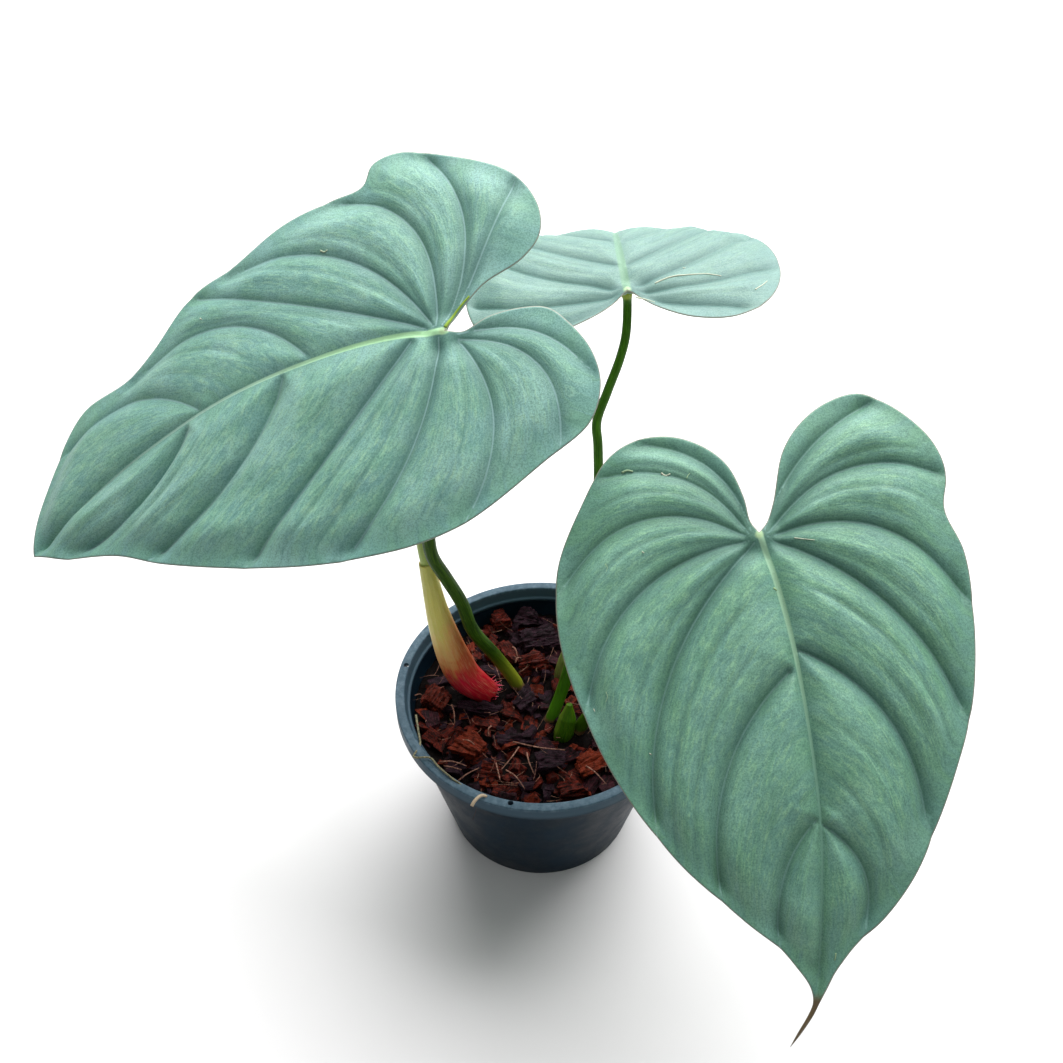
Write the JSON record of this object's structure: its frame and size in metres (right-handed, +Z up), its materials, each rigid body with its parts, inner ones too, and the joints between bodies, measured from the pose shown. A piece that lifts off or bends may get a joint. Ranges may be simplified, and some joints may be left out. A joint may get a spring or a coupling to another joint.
{
  "type": "potted philodendron",
  "caption": "Young creeping philodendron with large quilted heart-shaped leaves on tall stalks and a new shoot, growing in husk chips in a plastic nursery pot.",
  "frame": {"origin": "centre of the pot's flat base, on the surface that it stands on", "axes": "+Z up; +X to the right and +Y away as seen from the front, with the largest leaf towards -X, one leaf hanging towards -Y and the third arching towards +Y"},
  "size_m": [0.3937, 0.3867, 0.3562],
  "materials": {
    "pot_plastic": "matt moulded slate plastic with scuffed lip",
    "potting_mix": "damp husk crumbs",
    "husk_rust": "fibrous coconut husk",
    "husk_plum": "damp dark bark",
    "root": "corky creeping stem and roots",
    "stalk": "smooth fleshy green stalk",
    "leaf": "velvety blue-green leaf with sunken veins",
    "leaf_pale": "paler silvery leaf",
    "sheath": "fleshy sheath, yellow-green at the top and crimson at the foot",
    "young_leaf": "rolled young leaf"
  },
  "bodies": {
    "root": {"pot": "pot_plastic", "potting_mix": "potting_mix", "rhizome_with_roots": "root", "petiole_left": "stalk", "leaf_left": "leaf", "petiole_right": "stalk", "leaf_right": "leaf", "petiole_back": "stalk", "leaf_back": "leaf_pale", "cataphyll": "sheath", "new_leaf_spear": "young_leaf", "green_sheath": "stalk", "side_bud_tip": "young_leaf", "husk_chip_1": "husk_plum", "husk_chip_2": "husk_plum", "husk_chip_3": "husk_rust", "husk_chip_4": "husk_rust", "husk_chip_5": "husk_rust", "husk_chip_6": "husk_plum", "husk_chip_7": "husk_rust", "husk_chip_8": "husk_plum", "husk_chip_9": "husk_plum", "husk_chip_10": "husk_rust", "husk_chip_11": "husk_rust", "husk_chip_12": "husk_plum", "husk_chip_13": "husk_rust"}
  },
  "joints": []
}
